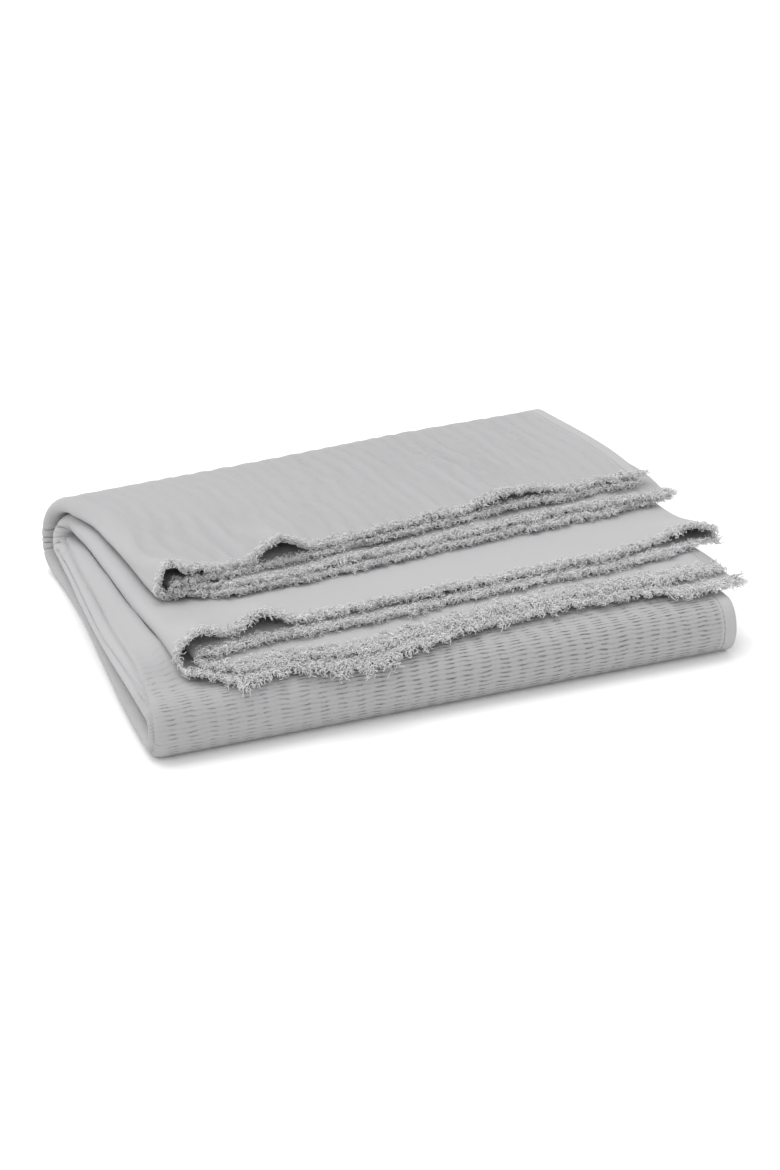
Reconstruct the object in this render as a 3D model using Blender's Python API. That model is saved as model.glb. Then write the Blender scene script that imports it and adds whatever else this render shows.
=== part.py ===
"""A woven throw blanket, folded and lying flat, in metres with +Z up.

The sheet is folded in half across its width twice, which gives a strip of four layers. The strip is
then folded back and forth into four levels. Seen along +X, its path is:

    top flap   -> outer back bend -> bottom level -> front bend
    -> middle level -> inner back bend -> lower flap

Both short ends of the strip are frayed. The fringe on each end is a narrow strip with locks, which
follows all four layers of its end. X runs along the fringed ends, left to right, Y runs to the back,
and the underside of the bottom level lies flat on Z = 0.
"""

import bisect
import math
import random
from collections import namedtuple

import bmesh
import bpy
from mathutils import Vector

MM = 0.001

# Cloth
CLOTH_THICKNESS = 2.4 * MM
LAYER_PITCH = 4.25 * MM
LAYERS = 4
LEVELS = 4

# Folded strip, before its levels drift apart
LEFT_FOLD_X = -217.0 * MM
RIGHT_HEM_X = 221.0 * MM
FRONT_BEND_Y = -153.0 * MM
OUTER_BACK_BEND_Y = 171.0 * MM
INNER_BACK_BEND_Y = 170.0 * MM
SIDE_BULGE = 1.35

# Middle of the finished pack, which is its origin
CENTRE_X = 15.6 * MM
CENTRE_Y = 28.2 * MM

# Rounded front fold: air in it lifts what lies near the front
FRONT_PUFF = 9.0 * MM
PUFF_FULL_Y = -110.0 * MM
PUFF_NONE_Y = 5.0 * MM

# Slow unevenness of the whole stack, none at the underside
WAVE_HEIGHT = 1.2 * MM
WAVE_LENGTH_X = 310.0 * MM
WAVE_LENGTH_Y = 220.0 * MM

# Fringe
FRINGE_GAP = 0.85 * MM
FRINGE_BACKING = 4.0 * MM
LOCK_STEP = 8.0 * MM
LEAST_LOCK_STEP = 5.0 * MM
LOCK_LENGTH = 8.0 * MM
LOCK_LENGTH_SPREAD = 2.0 * MM
LOCK_LEAN = 1.6 * MM
LOCK_TIP_SHARE = 0.45
FRINGE_SEED = 11

# Stretches of the strip's path, in order, with the steps that each is built from. Skew is how far the
# strip is turned at the start of a stretch, as rise in Y for each X
Stretch = namedtuple("Stretch", "name steps skew")
PATH = (
    Stretch("top_flap", 7, 0.120),
    Stretch("outer_back_bend", 8, 0.108),
    Stretch("bottom_level", 5, 0.100),
    Stretch("front_bend", 7, 0.000),
    Stretch("middle_level", 7, 0.000),
    Stretch("inner_back_bend", 6, 0.103),
    Stretch("lower_flap", 10, 0.103),
    Stretch("end", 0, 0.078),
)

# How far the strip's left and right sides have slid to the right, in millimetres, at stations along the
# path. A station is the number of a stretch and the share of it that has passed
LEFT_EDGE = (
    (0.00, 44.0), (0.12, 42.0), (0.30, 39.0), (0.55, 37.0), (0.80, 31.0), (0.90, 25.5), (1.00, 18.5),
    (1.25, 9.5), (1.50, 4.5), (1.75, 3.0), (2.00, 5.0), (2.12, 6.5), (2.30, 6.5), (2.50, 4.0),
    (2.80, 0.0), (3.00, 0.0), (4.00, 1.0), (4.30, 1.0), (4.60, 3.0), (4.85, 6.0), (5.00, 7.0),
    (5.50, 10.0), (6.00, 20.0), (6.15, 25.0), (6.30, 27.0), (6.50, 29.0), (6.75, 32.0), (7.00, 32.0),
)
RIGHT_EDGE = (
    (0.00, 33.0), (0.25, 32.0), (0.50, 27.5), (0.75, 22.0), (1.00, 16.5), (1.50, 8.0), (2.00, 0.0),
    (3.00, -3.0), (4.00, -3.0), (5.00, 7.0), (6.00, 14.0), (6.50, 20.0), (7.00, 26.0),
)

# Layers 0 and 1 end in hems at the right side, which stop short of the fold between layers 2 and 3 by
# these distances, in millimetres, at stations along the path
HEM_INSETS = (
    ((0.0, 12.0), (1.0, 6.0), (2.0, 0.0), (2.3, 0.0), (5.2, 0.0), (5.5, 0.0), (7.0, 14.0)),
    ((0.0, 17.0), (1.0, 6.0), (2.0, 0.0), (2.3, 0.0), (5.2, 0.0), (5.5, 0.0), (7.0, 16.0)),
)

# At the left side, the outer back bend's layers are pressed together and the inner back bend rises into
# the room that this leaves. Both fade to the right over one width, and each along the path over its reach
PRESSED_WIDTH = 70.0 * MM
PRESSED_SHARE = 0.3
PRESSED_STATION = 1.0
PRESSED_REACH = 1.3
BACK_RISE = 4.5 * MM
BACK_RISE_STATION = 5.6
BACK_RISE_REACH = 1.5

# The flaps. Layer ends are the Y at which each layer ends, from the outer layer 0 to the inner layer
# 3, and fold end is where all of them end at the left side fold. A wave moves the ends of layer 0 and
# layer 3 in Y around a place across the strip. A lift is an arch of the uppermost layer at its end.
Flap = namedtuple("Flap", "layer_ends fold_end waves lifts")
EndWave = namedtuple("EndWave", "x half_width outer_reach inner_reach")
Lift = namedtuple("Lift", "x half_width height reach")
TOP_FLAP = Flap(
    layer_ends=(9.0 * MM, 0.0 * MM, -9.0 * MM, -18.0 * MM),
    fold_end=-2.0 * MM,
    waves=(
        EndWave(-140.0 * MM, 80.0 * MM, -5.0 * MM, -1.0 * MM),
        EndWave(105.0 * MM, 60.0 * MM, 8.0 * MM, 0.0 * MM),
    ),
    lifts=(
        Lift(-203.0 * MM, 36.0 * MM, 11.0 * MM, 55.0 * MM),
        Lift(-121.0 * MM, 32.0 * MM, 14.0 * MM, 70.0 * MM),
        Lift(92.0 * MM, 60.0 * MM, 5.0 * MM, 80.0 * MM),
    ),
)
LOWER_FLAP = Flap(
    layer_ends=(-139.0 * MM, -124.0 * MM, -108.0 * MM, -93.0 * MM),
    fold_end=-104.0 * MM,
    waves=(
        EndWave(-170.0 * MM, 75.0 * MM, -8.0 * MM, 3.0 * MM),
        EndWave(50.0 * MM, 100.0 * MM, 9.0 * MM, 2.0 * MM),
        EndWave(200.0 * MM, 70.0 * MM, -18.0 * MM, 12.0 * MM),
    ),
    lifts=(
        Lift(-200.0 * MM, 30.0 * MM, 8.5 * MM, 50.0 * MM),
        Lift(-160.0 * MM, 28.0 * MM, 9.0 * MM, 60.0 * MM),
        Lift(196.0 * MM, 40.0 * MM, 5.0 * MM, 60.0 * MM),
    ),
)

# How far from a side fold the layers' ends draw together, and how nearly they meet at it
LEFT_EASE = 56.0 * MM
RIGHT_EASE = 55.0 * MM
EASE_SHARE = 0.9

# Steps across one layer: few where it is flat, more where it stands up in arches. The outer layer has two
# more places near the left, where its end at the lower flap turns steeply. Two steps are never closer
# than the least share of an even one, and steps along a flap crowd towards its end.
COARSE_STEPS = 5
FINE_STEPS = 10
LEAST_STEP_SHARE = 0.2
OUTER_LAYER_PLACES = (-186.0 * MM, -139.0 * MM)
END_CROWDING = 2.0

CLOTH_COLOUR = (0.55, 0.55, 0.56)
CLOTH_ROUGHNESS = 0.92
FRINGE_COLOUR = (0.62, 0.62, 0.63)
FRINGE_ROUGHNESS = 0.95

# Worked out from the sizes above
HALF_THICKNESS = CLOTH_THICKNESS / 2
LAST_LAYER = (LAYERS - 1) * LAYER_PITCH
FRONT_BEND_Z = HALF_THICKNESS + (LAYERS - 0.5) * LAYER_PITCH
BACK_BEND_Z = HALF_THICKNESS + (2 * LAYERS - 0.5) * LAYER_PITCH
TOP_Z = HALF_THICKNESS + (LEVELS * LAYERS - 1) * LAYER_PITCH
ROLL_TOP_Z = HALF_THICKNESS + 2 * LAYERS * LAYER_PITCH - LAYER_PITCH
STRIP_WIDTH = RIGHT_HEM_X - LEFT_FOLD_X
END_OF_PATH = len(PATH) - 1

# Midway between the two inner layers, which meet at the right side fold
RIGHT_FOLD_PLACE = LAYERS - 1.5

# One row for each run across the strip: its straight layer, then the side bend that leads on from it
Run = namedtuple("Run", "layer leftward bend_radius bend_steps")
RUNS = (
    Run(0, True, 1.5 * LAYER_PITCH, 5),
    Run(3, False, 0.5 * LAYER_PITCH, 3),
    Run(2, True, 0.5 * LAYER_PITCH, 3),
    Run(1, False, 0.0, 0),
)


def smooth_step(value):
    value = min(max(value, 0.0), 1.0)
    return value * value * (3.0 - 2.0 * value)


def bump(distance, half_width):
    """A round hump: 1 at no distance, 0 from the half width on."""
    return smooth_step(1.0 - abs(distance) / half_width)


def curve_at(knots, station):
    """The value at a station of a smooth line through knots of (station, value)."""
    index = min(max(bisect.bisect_right(knots, (station, math.inf)) - 1, 0), len(knots) - 2)
    (start, low), (end, high) = knots[index:index + 2]
    share = min(max((station - start) / (end - start), 0.0), 1.0)
    before = knots[max(index - 1, 0)]
    after = knots[min(index + 2, len(knots) - 1)]
    leave = (high - before[1]) / (end - before[0]) * (end - start)
    arrive = (after[1] - low) / (after[0] - start) * (end - start)
    rest = 1.0 - share
    return (
        low * rest * rest * (1.0 + 2.0 * share)
        + high * share * share * (3.0 - 2.0 * share)
        + leave * share * rest * rest
        - arrive * share * share * rest
    )


def clear_scene():
    for old in list(bpy.data.objects):
        bpy.data.objects.remove(old, do_unlink=True)


def run_starts():
    """The distance across the flat sheet at which each run starts, and the whole distance."""
    starts = [0.0]
    for run in RUNS:
        starts.append(starts[-1] + STRIP_WIDTH + math.pi * run.bend_radius)
    return starts


RUN_STARTS = run_starts()


def across(distance):
    """X and depth into the strip for a distance across the flat sheet, from hem to hem."""
    index = 0
    while index < LAYERS - 1 and distance >= RUN_STARTS[index + 1]:
        index += 1
    run = RUNS[index]
    rest = distance - RUN_STARTS[index]
    depth = run.layer * LAYER_PITCH
    if rest <= STRIP_WIDTH:
        x = RIGHT_HEM_X - rest if run.leftward else LEFT_FOLD_X + rest
        return x, depth
    turn = (rest - STRIP_WIDTH) / run.bend_radius
    next_depth = RUNS[index + 1].layer * LAYER_PITCH
    depth = (depth + next_depth) / 2 - (next_depth - depth) / 2 * math.cos(turn)
    reach = SIDE_BULGE * run.bend_radius * math.sin(turn)
    x = LEFT_FOLD_X - reach if run.leftward else RIGHT_HEM_X + reach
    return x, depth


def flap_end(flap, depth, x):
    """Y at which a flap ends, at a depth into the strip.

    Layers that share a side fold end nearly together there and further apart away from it.
    """
    near_left = 1.0 - smooth_step((x - LEFT_FOLD_X) / LEFT_EASE)
    near_right = 1.0 - smooth_step((RIGHT_HEM_X - x) / RIGHT_EASE)
    place = depth / LAYER_PITCH
    folded_right = min(max(place - 1.0, 0.0), 1.0)
    place += (RIGHT_FOLD_PLACE - place) * near_right * EASE_SHARE * folded_right
    lower = min(int(place), LAYERS - 2)
    share = place - lower
    y = flap.layer_ends[lower] * (1.0 - share) + flap.layer_ends[lower + 1] * share
    inner_share = place / (LAYERS - 1)
    for wave in flap.waves:
        reach = wave.outer_reach * (1.0 - inner_share) + wave.inner_reach * inner_share
        y += reach * bump(x - wave.x, wave.half_width)
    return y + (flap.fold_end - y) * near_left * EASE_SHARE


def lift_height(lifts, x, past_end):
    """How far an uppermost layer stands up at its end, fading towards the fold behind it."""
    return sum(
        lift.height * bump(x - lift.x, lift.half_width) * bump(max(-past_end, 0.0), lift.reach)
        for lift in lifts
    )


def bend(centre_y, centre_z, radius, turn):
    """A point of a bend, at a turn measured from +Z towards the back."""
    return centre_y + radius * math.sin(turn), centre_z + radius * math.cos(turn)


def path_point(name, share, x, depth, past_end):
    """Y and Z of the strip's path on a named stretch, before the levels drift apart."""
    if name == "top_flap":
        end_y = flap_end(TOP_FLAP, depth, x)
        y = end_y + (OUTER_BACK_BEND_Y - end_y) * share - past_end
        top_layer = max(1.0 - depth / LAYER_PITCH, 0.0)
        rise = top_layer * lift_height(TOP_FLAP.lifts, x, end_y - y)
        return y, TOP_Z - depth + rise
    if name == "outer_back_bend":
        radius = (2 * LAYERS - 0.5) * LAYER_PITCH - depth
        return bend(OUTER_BACK_BEND_Y, BACK_BEND_Z, radius, math.pi * share)
    if name == "bottom_level":
        y = OUTER_BACK_BEND_Y + (FRONT_BEND_Y - OUTER_BACK_BEND_Y) * share
        return y, HALF_THICKNESS + depth
    if name == "front_bend":
        radius = (LAYERS - 0.5) * LAYER_PITCH - depth
        return bend(FRONT_BEND_Y, FRONT_BEND_Z, radius, math.pi * (1.0 + share))
    if name == "middle_level":
        y = FRONT_BEND_Y + (INNER_BACK_BEND_Y - FRONT_BEND_Y) * share
        return y, ROLL_TOP_Z - depth
    if name == "inner_back_bend":
        radius = 0.5 * LAYER_PITCH + depth
        return bend(INNER_BACK_BEND_Y, BACK_BEND_Z, radius, math.pi * (1.0 - share))
    end_y = flap_end(LOWER_FLAP, depth, x)
    y = INNER_BACK_BEND_Y + (end_y - INNER_BACK_BEND_Y) * share - past_end
    top_layer = max((depth - LAST_LAYER) / LAYER_PITCH + 1.0, 0.0)
    rise = top_layer * lift_height(LOWER_FLAP.lifts, x, end_y - y)
    return y, ROLL_TOP_Z + LAYER_PITCH + depth + rise


def fold(distance, station, past_end=0.0):
    """Where a point of the flat sheet lies when folded.

    The station counts the stretches of the path from the top flap's end, and past_end is how far
    beyond the cloth's end a point of the fringe lies.
    """
    index = min(int(station), END_OF_PATH - 1)
    share = station - index
    here = PATH[index]
    after = PATH[index + 1]
    x, layer_depth = across(distance)
    near_left = 1.0 - smooth_step((x - LEFT_FOLD_X) / PRESSED_WIDTH)
    pressed = PRESSED_SHARE * near_left * bump(station - PRESSED_STATION, PRESSED_REACH)
    depth = layer_depth * (1.0 - pressed)
    y, z = path_point(here.name, share, x, depth, past_end)
    z += BACK_RISE * near_left * bump(station - BACK_RISE_STATION, BACK_RISE_REACH)
    skew = here.skew * (1.0 - share) + after.skew * share
    left_shift = curve_at(LEFT_EDGE, station) * MM
    right_shift = curve_at(RIGHT_EDGE, station) * MM
    for layer, inset in enumerate(HEM_INSETS):
        right_shift -= curve_at(inset, station) * MM * max(1.0 - abs(layer_depth / LAYER_PITCH - layer), 0.0)
    y += skew * x
    to_right = (x - LEFT_FOLD_X) / STRIP_WIDTH
    x += left_shift * (1.0 - to_right) + right_shift * to_right
    if here.name == "lower_flap" and y < FRONT_BEND_Y:
        # The lower flap's end follows the rounded front fold
        radius = z - FRONT_BEND_Z
        y, z = bend(FRONT_BEND_Y, FRONT_BEND_Z, radius, (y - FRONT_BEND_Y) / radius)
    puff = FRONT_PUFF * smooth_step((PUFF_NONE_Y - y) / (PUFF_NONE_Y - PUFF_FULL_Y))
    rise = puff * min((z - HALF_THICKNESS) / (ROLL_TOP_Z - HALF_THICKNESS), 1.0)
    wave = math.sin(math.tau * x / WAVE_LENGTH_X) * math.cos(math.tau * y / WAVE_LENGTH_Y)
    rise += WAVE_HEIGHT * wave * (z - HALF_THICKNESS) / TOP_Z
    return Vector((x - CENTRE_X, y - CENTRE_Y, z + rise))


def straight_distances(start, count, extra_places, leftward):
    """Distances across one straight layer: even ones, and ones at its arches."""
    places = [STRIP_WIDTH * step / count for step in range(count + 1)]
    for place in extra_places:
        places.append(RIGHT_HEM_X - place if leftward else place - LEFT_FOLD_X)
    least_step = LEAST_STEP_SHARE * STRIP_WIDTH / count
    kept = []
    for place in sorted(places):
        if not kept or place - kept[-1] > least_step:
            kept.append(place)
    kept[-1] = STRIP_WIDTH
    return [start + place for place in kept]


def sheet_distances():
    """Distances across the sheet at which the cloth has a row of points."""
    lift_places = {0: TOP_FLAP.lifts, LAYERS - 1: LOWER_FLAP.lifts}
    distances = []
    for index, run in enumerate(RUNS):
        lifts = lift_places.get(run.layer, ())
        count = FINE_STEPS if lifts else COARSE_STEPS
        places = [lift.x + side * lift.half_width for lift in lifts for side in (-1, 0, 1)]
        if run.layer == 0:
            places += OUTER_LAYER_PLACES
        inside = [x for x in places if LEFT_FOLD_X < x < RIGHT_HEM_X]
        distances += straight_distances(RUN_STARTS[index], count, inside, run.leftward)
        bend_start = RUN_STARTS[index] + STRIP_WIDTH
        length = math.pi * run.bend_radius
        distances += [bend_start + length * step / run.bend_steps for step in range(1, run.bend_steps)]
    return distances


def fringe_distances(columns):
    """The cloth's columns, with even steps about as wide as a lock between them."""
    distances = []
    for left, right in zip(columns, columns[1:]):
        parts = max(round((right - left) / LOCK_STEP), 1)
        distances += [left + (right - left) * part / parts for part in range(parts)]
    return distances + [columns[-1]]


def fold_on_cloth(distance, station, past_end, columns):
    """A fringe point's place, on the flat facet between the cloth's two nearest columns of points."""
    after = min(max(bisect.bisect_right(columns, distance), 1), len(columns) - 1)
    left, right = columns[after - 1], columns[after]
    share = (distance - left) / (right - left)
    return fold(left, station, past_end).lerp(fold(right, station, past_end), share)


def path_stations():
    """Stations along the path, closer together towards the flaps' ends."""
    stations = []
    for index, stretch in enumerate(PATH[:-1]):
        for step in range(stretch.steps):
            share = step / stretch.steps
            if stretch.name == "top_flap":
                share = share ** END_CROWDING
            if stretch.name == "lower_flap":
                share = 1.0 - (1.0 - share) ** END_CROWDING
            stations.append(index + share)
    return stations + [float(END_OF_PATH)]


def make_material(name, colour, roughness):
    material = bpy.data.materials.new(name)
    material.use_nodes = True
    shader = material.node_tree.nodes["Principled BSDF"]
    shader.inputs["Base Color"].default_value = (*colour, 1.0)
    shader.inputs["Roughness"].default_value = roughness
    shader.inputs["Metallic"].default_value = 0.0
    material.diffuse_color = (*colour, 1.0)
    return material


def finish_sheet(name, bm, material):
    """Turns a folded surface into an object whose thickness lies half on each side of it."""
    mesh = bpy.data.meshes.new(name)
    bm.to_mesh(mesh)
    bm.free()
    mesh.materials.append(material)
    mesh.shade_smooth()
    piece = bpy.data.objects.new(name, mesh)
    bpy.context.collection.objects.link(piece)
    thickness = piece.modifiers.new("thickness", "SOLIDIFY")
    thickness.thickness = CLOTH_THICKNESS
    thickness.offset = 0.0
    thickness.use_rim = True
    return piece


def build_cloth(material):
    """The whole sheet: a flat grid, each point of which is carried to its place in the folds."""
    distances = sheet_distances()
    stations = path_stations()
    bm = bmesh.new()
    columns = len(distances) - 1
    rows = len(stations) - 1
    bmesh.ops.create_grid(bm, x_segments=columns, y_segments=rows, size=0.5)
    for vert in bm.verts:
        column = round((vert.co.x + 0.5) * columns)
        row = round((vert.co.y + 0.5) * rows)
        vert.co = fold(distances[column], stations[row])
    return finish_sheet("cloth", bm, material)


def build_fringe(name, station, seed, material):
    """The fringe of one end: a narrow backing along all four layers, and a lock on every other step."""
    chance = random.Random(seed)
    columns = sheet_distances()
    places = fringe_distances(columns)
    steps = len(places) - 1
    bm = bmesh.new()
    bmesh.ops.create_grid(bm, x_segments=steps, y_segments=1, size=0.5)
    for vert in bm.verts:
        past_end = FRINGE_GAP if vert.co.y < 0.0 else FRINGE_GAP + FRINGE_BACKING
        vert.co = Vector((places[round((vert.co.x + 0.5) * steps)], past_end, 0.0))
    middle_line = FRINGE_GAP + FRINGE_BACKING / 2
    outer = [edge for edge in bm.edges if min(vert.co.y for vert in edge.verts) > middle_line]
    outer.sort(key=lambda edge: min(vert.co.x for vert in edge.verts))
    wide = [edge for edge in outer if edge.calc_length() > LEAST_LOCK_STEP]
    for edge in wide[::2]:
        middle = (edge.verts[0].co.x + edge.verts[1].co.x) / 2
        lean = chance.uniform(-LOCK_LEAN, LOCK_LEAN)
        length = LOCK_LENGTH + chance.uniform(-LOCK_LENGTH_SPREAD, LOCK_LENGTH_SPREAD)
        made = bmesh.ops.extrude_edge_only(bm, edges=[edge])["geom"]
        for vert in (item for item in made if isinstance(item, bmesh.types.BMVert)):
            vert.co.x = middle + (vert.co.x - middle) * LOCK_TIP_SHARE + lean
            vert.co.y += length
    for vert in bm.verts:
        vert.co = fold_on_cloth(vert.co.x, station, vert.co.y, columns)
    return finish_sheet(name, bm, material)


def build_throw():
    clear_scene()
    cloth_finish = make_material("grey_cotton", CLOTH_COLOUR, CLOTH_ROUGHNESS)
    fringe_finish = make_material("frayed_cotton", FRINGE_COLOUR, FRINGE_ROUGHNESS)
    build_cloth(cloth_finish)
    build_fringe("upper_fringe", 0.0, FRINGE_SEED, fringe_finish)
    build_fringe("lower_fringe", float(END_OF_PATH), FRINGE_SEED + 1, fringe_finish)


build_throw()
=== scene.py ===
import bisect
import math
import random
from collections import namedtuple

import bmesh
import bpy
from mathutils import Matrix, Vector, noise


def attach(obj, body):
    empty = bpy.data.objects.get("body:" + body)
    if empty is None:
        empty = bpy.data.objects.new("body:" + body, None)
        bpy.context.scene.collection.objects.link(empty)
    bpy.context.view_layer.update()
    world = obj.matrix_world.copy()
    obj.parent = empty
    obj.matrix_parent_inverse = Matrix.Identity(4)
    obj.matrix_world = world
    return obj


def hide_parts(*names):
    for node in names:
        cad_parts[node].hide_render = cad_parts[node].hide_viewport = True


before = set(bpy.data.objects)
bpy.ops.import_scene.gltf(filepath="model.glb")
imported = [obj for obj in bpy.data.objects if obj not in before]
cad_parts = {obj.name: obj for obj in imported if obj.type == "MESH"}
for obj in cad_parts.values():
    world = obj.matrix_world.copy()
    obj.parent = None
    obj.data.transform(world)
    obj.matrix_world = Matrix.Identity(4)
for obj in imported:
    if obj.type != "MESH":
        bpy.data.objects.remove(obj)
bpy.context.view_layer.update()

mm = 0.001
print("frame loaded:", ", ".join(sorted(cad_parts)))


# Camera, at the angle from which the throw is seen
cameraValues = {
    "azimuth": -21.45,          # degrees, 0 looks along +Y
    "elevation": 25.4,          # degrees above the floor
    "distance": 1.592,
    "aim": (0.0096, 0.0109, 0.0),
    "lens": 61.54,
    "sensor": 36.0,
}


def addCamera(values):
    turn = math.radians(values["azimuth"])
    climb = math.radians(values["elevation"])
    back = Vector((
        math.sin(turn) * math.cos(climb),
        -math.cos(turn) * math.cos(climb),
        math.sin(climb),
    ))
    data = bpy.data.cameras.new("camera")
    data.lens = values["lens"]
    data.sensor_width = values["sensor"]
    camera = bpy.data.objects.new("camera", data)
    bpy.context.collection.objects.link(camera)
    camera.location = Vector(values["aim"]) + back * values["distance"]
    camera.rotation_euler = back.to_track_quat("Z", "Y").to_euler()
    bpy.context.scene.camera = camera


addCamera(cameraValues)


# How the sheet is folded: the sizes of the solid that it replaces
folded = {
    "thickness": 2.4 * mm,
    "layers": 4,
    "pitch": 4.25 * mm,         # from one layer to the next
    "leftFoldX": -217 * mm,
    "rightHemX": 221 * mm,
    "frontBendY": -153 * mm,
    "outerBackBendY": 171 * mm,
    "innerBackBendY": 170 * mm,
    "sideBulge": 1.35,
    "centre": (15.6 * mm, 28.2 * mm),
    "puff": 9 * mm,             # air in the rounded front fold
    "puffFullY": -110 * mm,
    "puffNoneY": 5 * mm,
    "waveHeight": 1.2 * mm,     # slow unevenness of the whole stack
    "waveLengthX": 310 * mm,
    "waveLengthY": 220 * mm,
    "rightEase": 55 * mm,       # layers draw together at a side fold over this width
    "rightEaseShare": 0.9,
    "squeeze": 0.3,             # layers pressed together at the left of the back bends
    "squeezeWidth": 70 * mm,
    "squeezePlace": 1.0,
    "squeezeReach": 1.3,
    "backRise": 4.5 * mm,       # of the inner back bend at its left end
    "backRisePlace": 5.6,
    "backRiseReach": 1.5,
}

pitch = folded["pitch"]
layers = folded["layers"]
halfThickness = folded["thickness"] / 2
stripWidth = folded["rightHemX"] - folded["leftFoldX"]
lastLayer = (layers - 1) * pitch
frontBendZ = halfThickness + (layers - 0.5) * pitch
backBendZ = halfThickness + (2 * layers - 0.5) * pitch
topZ = halfThickness + (4 * layers - 1) * pitch
rollTopZ = halfThickness + (2 * layers - 1) * pitch
outerRadius = (2 * layers - 0.5) * pitch
bendRadius = (layers - 0.5) * pitch

# The strip's path, with the length of the layer that shows on each stretch
Stretch = namedtuple("Stretch", "name length skew")
path = (
    Stretch("topFlap", 176 * mm, 0.120),
    Stretch("outerBackBend", math.pi * outerRadius, 0.108),
    Stretch("bottomLevel", 324 * mm, 0.100),
    Stretch("frontBend", math.pi * bendRadius, 0.000),
    Stretch("middleLevel", 323 * mm, 0.000),
    Stretch("innerBackBend", math.pi * bendRadius, 0.103),
    Stretch("lowerFlap", 285 * mm, 0.103),
    Stretch("end", 0, 0.078),
)
stretchStarts = [sum(stretch.length for stretch in path[:index]) for index in range(len(path))]
clothLength = stretchStarts[-1]

# How far each side stands to the right of a straight strip. A place is a stretch's number
# and the share of it that has passed
leftEdge = (
    (0.00, 44 * mm), (0.12, 42 * mm), (0.30, 39 * mm), (0.55, 37 * mm), (0.80, 31 * mm),
    (0.90, 25.5 * mm), (1.00, 18.5 * mm), (1.25, 9.5 * mm), (1.50, 4.5 * mm), (1.75, 3 * mm),
    (2.00, 5 * mm), (2.12, 6.5 * mm), (2.30, 6.5 * mm), (2.50, 4 * mm), (2.80, 0.0),
    (3.00, 0.0), (4.00, 1 * mm), (4.30, 1 * mm), (4.60, 3 * mm), (4.85, 6 * mm), (5.00, 7 * mm),
    (5.50, 10 * mm), (6.00, 20 * mm), (6.15, 25 * mm), (6.30, 27 * mm), (6.50, 29 * mm),
    (6.75, 32 * mm), (7.00, 32 * mm),
)
rightEdge = (
    (0.00, 33 * mm), (0.25, 32 * mm), (0.50, 27.5 * mm), (0.75, 22 * mm), (1.00, 16.5 * mm),
    (1.50, 8 * mm), (2.00, 0.0), (3.00, -3 * mm), (4.00, -3 * mm), (5.00, 7 * mm),
    (6.00, 14 * mm), (6.50, 20 * mm), (7.00, 26 * mm),
)
# Layers 0 and 1 end in hems on the right, which stop short of the fold between layers 2 and 3
hemInsets = (
    ((0.00, 12 * mm), (1.00, 6 * mm), (2.00, 0.0), (2.30, 0.0), (5.20, 0.0), (5.50, 0.0), (7.00, 14 * mm)),
    ((0.00, 17 * mm), (1.00, 6 * mm), (2.00, 0.0), (2.30, 0.0), (5.20, 0.0), (5.50, 0.0), (7.00, 16 * mm)),
)

# At the left the fold between layers 1 and 2 stands back inside the outer one near both ends
innerFoldInset = ((0.0, 5 * mm), (0.3, 2 * mm), (0.8, 0.0), (6.0, 0.0), (6.6, 2 * mm), (7.0, 8 * mm))

# The runs across the strip: a straight layer, then the side bend that leads on from it
Run = namedtuple("Run", "layer leftward bendRadius")
runs = (
    Run(0, True, 1.5 * pitch),
    Run(3, False, 0.5 * pitch),
    Run(2, True, 0.5 * pitch),
    Run(1, False, 0.0),
)
runStarts = [0.0]
for run in runs:
    runStarts.append(runStarts[-1] + stripWidth + math.pi * run.bendRadius)
clothWidth = runStarts[-1]
outerSideFold = stripWidth + 10 * mm        # the middle of the outer fold at the left, across the sheet

Flap = namedtuple("Flap", "layerEnds foldEnd leftEase easeShare waves lifts")
EndWave = namedtuple("EndWave", "x halfWidth outerReach innerReach")
Lift = namedtuple("Lift", "x halfWidth height reach")
topFlap = Flap(
    layerEnds=(9 * mm, 4 * mm, -11 * mm, -19 * mm),
    foldEnd=-2 * mm,
    leftEase=56 * mm,
    easeShare=0.9,
    waves=(
        EndWave(-140 * mm, 80 * mm, -5 * mm, -1 * mm),
        EndWave(105 * mm, 60 * mm, 8 * mm, 0.0),
    ),
    lifts=(
        Lift(-214 * mm, 21 * mm, 12 * mm, 50 * mm),
        Lift(-192 * mm, 11 * mm, 6 * mm, 35 * mm),
        Lift(-121 * mm, 32 * mm, 14 * mm, 70 * mm),
        Lift(92 * mm, 60 * mm, 5 * mm, 80 * mm),
    ),
)
lowerFlap = Flap(
    layerEnds=(-142 * mm, -131 * mm, -103 * mm, -93 * mm),
    foldEnd=-104 * mm,
    leftEase=30 * mm,
    easeShare=0.62,
    waves=(
        EndWave(-176 * mm, 44 * mm, 3 * mm, 2 * mm),
        EndWave(-150 * mm, 34 * mm, 2 * mm, 1 * mm),
        EndWave(-94 * mm, 62 * mm, -11 * mm, 0.0),
        EndWave(50 * mm, 100 * mm, 9 * mm, 2 * mm),
        EndWave(200 * mm, 70 * mm, -18 * mm, 12 * mm),
    ),
    lifts=(
        Lift(-207 * mm, 26 * mm, 9.5 * mm, 50 * mm),
        Lift(-160 * mm, 28 * mm, 9 * mm, 60 * mm),
        Lift(202 * mm, 38 * mm, 8 * mm, 60 * mm),
    ),
)

# Small unevenness that the solid leaves out
loose = {
    "frontCurl": 2.4 * mm,      # how far the lowest end stands off the front fold
    "frontCurlReach": 16 * mm,
    "endWobble": 2.2 * mm,
    "endWobbleLength": 30 * mm,
    "rise": 1.1 * mm,           # of each layer near its end
    "riseLength": 42 * mm,
    "riseReach": 45 * mm,
}


def smoothStep(value):
    value = min(max(value, 0.0), 1.0)
    return value * value * (3.0 - 2.0 * value)


def hump(distance, halfWidth):
    return smoothStep(1.0 - abs(distance) / halfWidth)


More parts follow.
